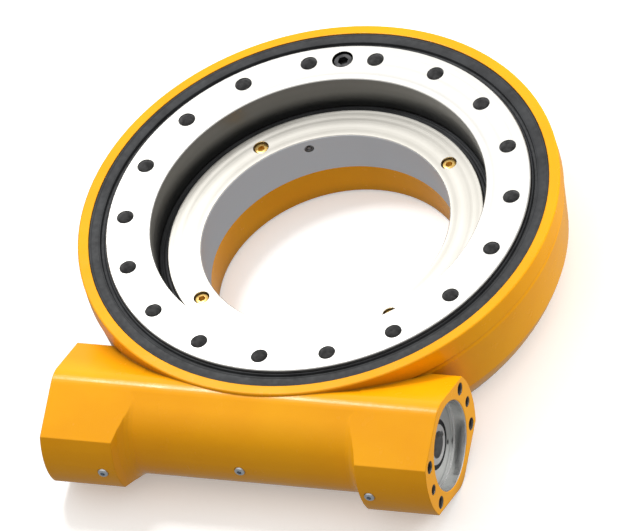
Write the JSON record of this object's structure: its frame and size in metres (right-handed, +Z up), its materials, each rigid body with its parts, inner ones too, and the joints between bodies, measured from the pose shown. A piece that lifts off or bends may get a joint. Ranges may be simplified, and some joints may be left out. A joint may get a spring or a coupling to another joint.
{
  "type": "slewing ring bearing",
  "caption": "Enclosed slewing ring with a ball race, toothed output ring and side worm drive, in a yellow cast housing with a motor port.",
  "frame": {"origin": "ring axis on the base face", "axes": "+Z up along the ring axis through the output face; worm along X on the -Y side with the motor port facing +X"},
  "size_m": [0.4526, 0.5147, 0.109],
  "materials": {
    "yellow_paint": "satin enamel over cast iron",
    "machined_steel": "fine turned",
    "ground_steel": "ground",
    "bearing_steel": "polished",
    "phosphated_steel": "turned",
    "dark_screw": "black oxide",
    "zinc_plate": "zinc plated",
    "yellow_zinc": "yellow zinc plated",
    "cage_steel": "pressed sheet",
    "seal_rubber": "moulded",
    "nylon": "moulded"
  },
  "bodies": {
    "root": {"housing": "yellow_paint", "inner_ring": "machined_steel", "inner_ring_screws": "yellow_zinc", "top_seal": "seal_rubber", "bore_seal": "seal_rubber", "lower_seal": "seal_rubber", "worm_bearing_cups": "bearing_steel", "bearing_adjuster": "phosphated_steel", "shaft_seal": "seal_rubber", "far_end_plug": "phosphated_steel", "far_end_o_ring": "seal_rubber", "far_end_circlip": "phosphated_steel", "adjuster_lock_screws": "dark_screw", "oil_plugs": "zinc_plate", "bore_grease_port": "dark_screw"},
    "ring": {"output_ring": "machined_steel", "fill_plug": "phosphated_steel"},
    "ball_set": {"balls": "bearing_steel", "ball_spacers": "nylon"},
    "worm": {"worm_shaft": "ground_steel", "worm_thread": "ground_steel", "worm_bearing_cones": "bearing_steel", "oil_slingers": "zinc_plate"},
    "roller_sets": {"worm_bearing_rollers": "bearing_steel", "worm_bearing_cages": "cage_steel"}
  },
  "joints": [
    {"name": "ring_turn", "type": "hinge", "parent": "root", "child": "ring", "pos_m": [0, 0, 0.0525], "axis": [0, 0, 1], "continuous": true},
    {"name": "ball_orbit", "type": "hinge", "parent": "root", "child": "ball_set", "pos_m": [0, 0, 0.0525], "axis": [0, 0, 1], "continuous": true},
    {"name": "worm_spin", "type": "hinge", "parent": "root", "child": "worm", "pos_m": [0, -0.2215, 0.0525], "axis": [1, 0, 0], "continuous": true},
    {"name": "roller_orbit", "type": "hinge", "parent": "root", "child": "roller_sets", "pos_m": [0, -0.2215, 0.0525], "axis": [1, 0, 0], "continuous": true}
  ],
  "couplings": [
    {"joint": "ball_orbit", "follows": "ring_turn", "ratio": 0.525},
    {"joint": "worm_spin", "follows": "ring_turn", "ratio": -85},
    {"joint": "roller_orbit", "follows": "ring_turn", "ratio": -36.55}
  ]
}
